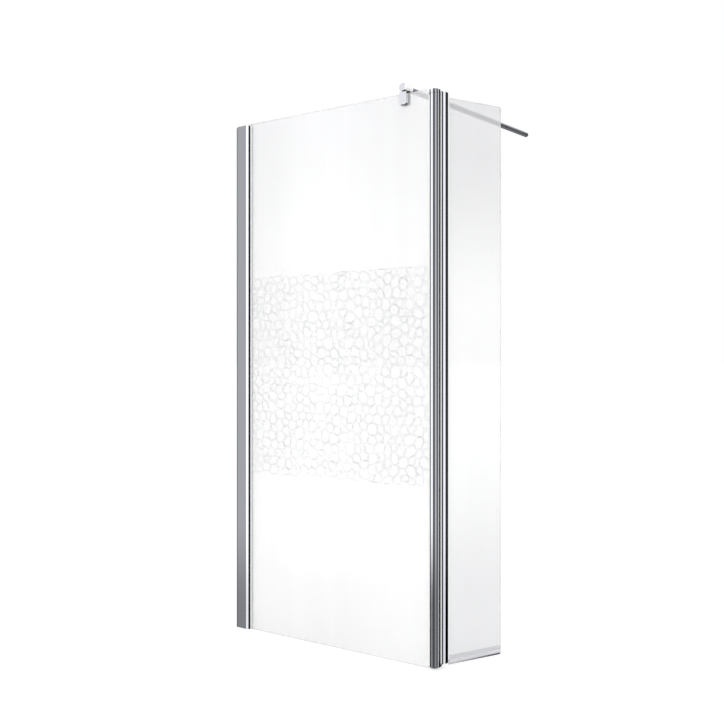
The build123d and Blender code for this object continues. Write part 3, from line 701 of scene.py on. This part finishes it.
# filled rubber is dull and nearly black
setting = moulded("hard_rubber_block", "3A3B3E", 0.6, 0.0008)
dress(["glass_setting_block"], setting)
# clearer and smoother than the strips, so its fin shows as a grey streak under the glass
seal_pvc = flexible("clear_pvc_seal", "F1F1F4", 0.5, 0.18, 0.0015, 1)
# the lowest lip lies in its own shade, which is painted on as a dark tone, more so towards its free end
lip_top = 0.0145
lip_foot = 0.0105
lip_near = 0.07
lip_far = 0.24
seal_tree = seal_pvc.node_tree
seal_coords = add_node(seal_tree, "ShaderNodeTexCoord")
seal_split = add_node(seal_tree, "ShaderNodeSeparateXYZ", inputs={0: seal_coords.outputs["Object"]})
lip_down = add_node(
    seal_tree,
    "ShaderNodeMapRange",
    inputs={"Value": seal_split.outputs["Z"], "From Min": lip_top, "From Max": lip_foot},
)
lip_out = add_node(
    seal_tree,
    "ShaderNodeMapRange",
    inputs={"Value": seal_split.outputs["Y"], "From Min": lip_near, "From Max": lip_far, "To Min": 0.25},
)
painted_lip_shade = add_node(
    seal_tree,
    "ShaderNodeMath",
    settings={"operation": "MULTIPLY"},
    inputs={0: lip_down.outputs[0], 1: lip_out.outputs[0]},
)
paint_over(seal_tree, painted_lip_shade.outputs[0], linear("2A2B2F"))
dress(["flipper_drip_seal"], seal_pvc)

# Glass clamp: a plated saddle over the top edge, with a soft liner against the glass and two set screws on
# the shower side.
dress(["clamp_body"], chrome)
# the liner is matt and light, so that it hardly shows through the glass
liner = moulded("grey_liner_rubber", "B9BBBD", 0.7, 0.0006)
dress(["clamp_liner"], liner)
dress(["clamp_screws"], steel)

# Swivel and bar holder: a socket cast in zinc and chrome-plated, which turns on a steel pin over the clamp,
# on an acetal washer. Two set screws grip the bar in it.
dress(["bar_holder"], holder_chrome)
dress(["swivel_pin"], ground_steel)
dress(["swivel_washer"], acetal)
dress(["holder_screws"], steel)

# Stabiliser bar and its end plug: a thin drawn steel tube with a dull dark chrome, closed by black nylon
# where it meets the opposite wall.

# the plate follows the die lines, which run along the tube and spread its reflection into soft bands
tube_chrome = lined_metal("chromed_steel_tube", "96989E", 0.5, 0.0016, 1, 0.000002)
dress(["stabiliser_bar"], tube_chrome)
# moulded nylon is matt, so the end reads as a plain dark disc
black = moulded("black_nylon_plug", "151518", 0.42, 0.0006)
dress(["bar_end_plug"], black)

# Studio: a white floor and surround, soft lamps, and the camera of the picture. The cards round the object
# show only in its reflections.

# the floor's paint is matt and glows a little, so that it stays white and shows no horizon
reach = 300.0
floor_mesh = bpy.data.meshes.new("studio_floor")
floor_mesh.from_pydata(
    [(-reach, -reach, 0), (reach, -reach, 0), (reach, reach, 0), (-reach, reach, 0)], [], [(0, 1, 2, 3)]
)
floor = bpy.data.objects.new("studio_floor", floor_mesh)
floor.location.z = -0.0005  # a hair under the screen's foot
floor.visible_glossy = False
scene.collection.objects.link(floor)
floor_paint, _, floor_shader = new_finish("studio_floor_paint")
floor_shader.inputs["Base Color"].default_value = linear("BCBCBC")
floor_shader.inputs["Roughness"].default_value = 1.0
floor_shader.inputs["Specular IOR Level"].default_value = 0.0
floor_shader.inputs["Emission Color"].default_value = linear("FFFFFF")
floor_shader.inputs["Emission Strength"].default_value = 0.62
floor_mesh.materials.append(floor_paint)

world = bpy.data.worlds.new("studio_world")
scene.world = world
world.use_nodes = True
world_tree = world.node_tree
background = world_tree.nodes["Background"]
path = add_node(world_tree, "ShaderNodeLightPath")
look = add_node(world_tree, "ShaderNodeTexCoord")
heading = 37.19  # degrees that the camera is turned from square on to the fixed pane
turn = add_node(
    world_tree,
    "ShaderNodeMapping",
    settings={"vector_type": "POINT"},
    inputs={"Vector": look.outputs["Generated"], "Rotation": (0, 0, math.radians(90 - heading))},
)
round_about = add_node(
    world_tree,
    "ShaderNodeTexGradient",
    settings={"gradient_type": "RADIAL"},
    inputs={"Vector": turn.outputs[0]},
)


def cards(levels):
    """A ring of studio cards round the object: degrees to the right of the camera, and brightness."""
    ring = add_node(world_tree, "ShaderNodeValToRGB", inputs={"Fac": round_about.outputs["Fac"]})
    cool = (0.98, 0.985, 1.02)
    fill_ramp(
        ring.color_ramp,
        [((angle + 180) / 360, tuple(level * c for c in cool) + (1,)) for angle, level in levels],
    )
    return ring.outputs[0]


upper_cards = cards(
    [
        (-180, 0.3), (-125, 0.22), (-96, 0.25), (-92, 2.2), (-85, 2.0), (-84, 0.47), (-79, 0.47), (-78, 1.9),
        (-75, 1.6), (-74, 1.0), (-71.3, 1.0), (-70.8, 1.6), (-60, 1.6), (-46, 0.2), (-24, 0.1), (-8, 0.16),
        (2, 0.62), (14, 0.68), (26, 0.5), (38, 0.12), (48, 0.03), (62, 0.03), (65, 1.2), (76, 1.2),
        (79, 0.12), (92, 0.05), (104, 0.03), (125, 0.03), (150, 0.15), (180, 0.3),
    ]
)
lower_cards = cards(
    [
        (-180, 0.1), (-125, 0.06), (-92, 0.06), (-84, 0.2), (-83, 0.27), (-79, 0.27), (-74, 0.12),
        (-72.5, 1.1), (-67.5, 1.1), (-66, 0.08), (-44, 0.08), (-22, 0.08), (-8, 0.15), (2, 0.3), (14, 0.3),
        (26, 0.2), (40, 0.1), (62, 0.06), (65, 0.95), (76, 0.95), (79, 0.03), (92, 0.0), (104, 0.0),
        (125, 0.02), (150, 0.06), (180, 0.1),
    ]
)
look_split = add_node(world_tree, "ShaderNodeSeparateXYZ", inputs={0: look.outputs["Generated"]})
soft_box = add_node(
    world_tree,
    "ShaderNodeMapRange",
    settings={"interpolation_type": "SMOOTHSTEP"},
    inputs={
        "Value": look_split.outputs["Z"], "From Min": 0.8, "From Max": 0.95, "To Min": 1.3, "To Max": 0.25
    },
)
pale_floor = (0.6, 0.6, 0.61, 1)
# from the lower cards up to the upper ones, then a long soft box overhead, which only faces that tilt upwards
# pick up, and the pale floor, which steep reflections find below the cards
mirrored = lower_cards
for start, full, layer in (
    (-0.24, -0.15, upper_cards),
    (0.29, 0.36, soft_box.outputs[0]),
    (-0.31, -0.37, pale_floor),
):
    reached = add_node(
        world_tree,
        "ShaderNodeMapRange",
        settings={"interpolation_type": "SMOOTHSTEP"},
        inputs={"Value": look_split.outputs["Z"], "From Min": start, "From Max": full},
    )
    laid = add_node(
        world_tree,
        "ShaderNodeMix",
        settings={"data_type": "RGBA"},
        inputs={0: reached.outputs[0], 6: mirrored, 7: layer},
    )
    mirrored = laid.outputs[2]
# reflections see the cards, while the camera, and what is seen through the glass, get plain white
reflected = add_node(
    world_tree,
    "ShaderNodeMath",
    settings={"operation": "GREATER_THAN"},
    inputs={0: path.outputs["Is Glossy Ray"], 1: path.outputs["Is Transmission Ray"]},
)
plain = add_node(
    world_tree,
    "ShaderNodeMix",
    settings={"data_type": "RGBA"},
    inputs={0: reflected.outputs[0], 6: (1, 1, 1, 1), 7: mirrored},
)
lit = add_node(
    world_tree,
    "ShaderNodeMix",
    settings={"data_type": "RGBA"},
    inputs={0: path.outputs["Is Diffuse Ray"], 6: plain.outputs[2], 7: (0.97, 0.97, 0.97, 1)},
)
world_tree.links.new(lit.outputs[2], background.inputs["Color"])
background.inputs["Strength"].default_value = 1.0

lamp_size = 3.0
lamp_aim = Vector((0.5, 0.3, 0.8))
for name, place, power in (
    ("soft_key", (3.0, -3.0, 4.0), 14.0),
    ("soft_fill", (-2.5, -2.0, 3.5), 12.0),
    ("soft_back", (1.0, 3.5, 3.5), 14.0),
):
    lamp_data = bpy.data.lights.new(name, "AREA")
    lamp_data.size = lamp_size
    lamp_data.energy = power
    lamp = bpy.data.objects.new(name, lamp_data)
    lamp.location = place
    lamp.rotation_euler = (lamp_aim - Vector(place)).to_track_quat("-Z", "Y").to_euler()
    lamp.visible_glossy = False
    lamp.visible_transmission = False
    lamp.visible_camera = False
    scene.collection.objects.link(lamp)

# the camera stands level at the picture's viewing angle, 3.25 m from the post
camera_data = bpy.data.cameras.new("photo_camera")
camera_data.sensor_width = 36.0
camera_data.lens = 49.43
camera_data.shift_y = 0.0009
camera_data.clip_end = 1000.0
camera = bpy.data.objects.new("photo_camera", camera_data)
camera.location = (2.660, -2.734, 1.002)
camera.rotation_euler = (math.pi / 2, 0, math.radians(heading))
scene.collection.objects.link(camera)
scene.camera = camera
scene.view_settings.view_transform = "Standard"
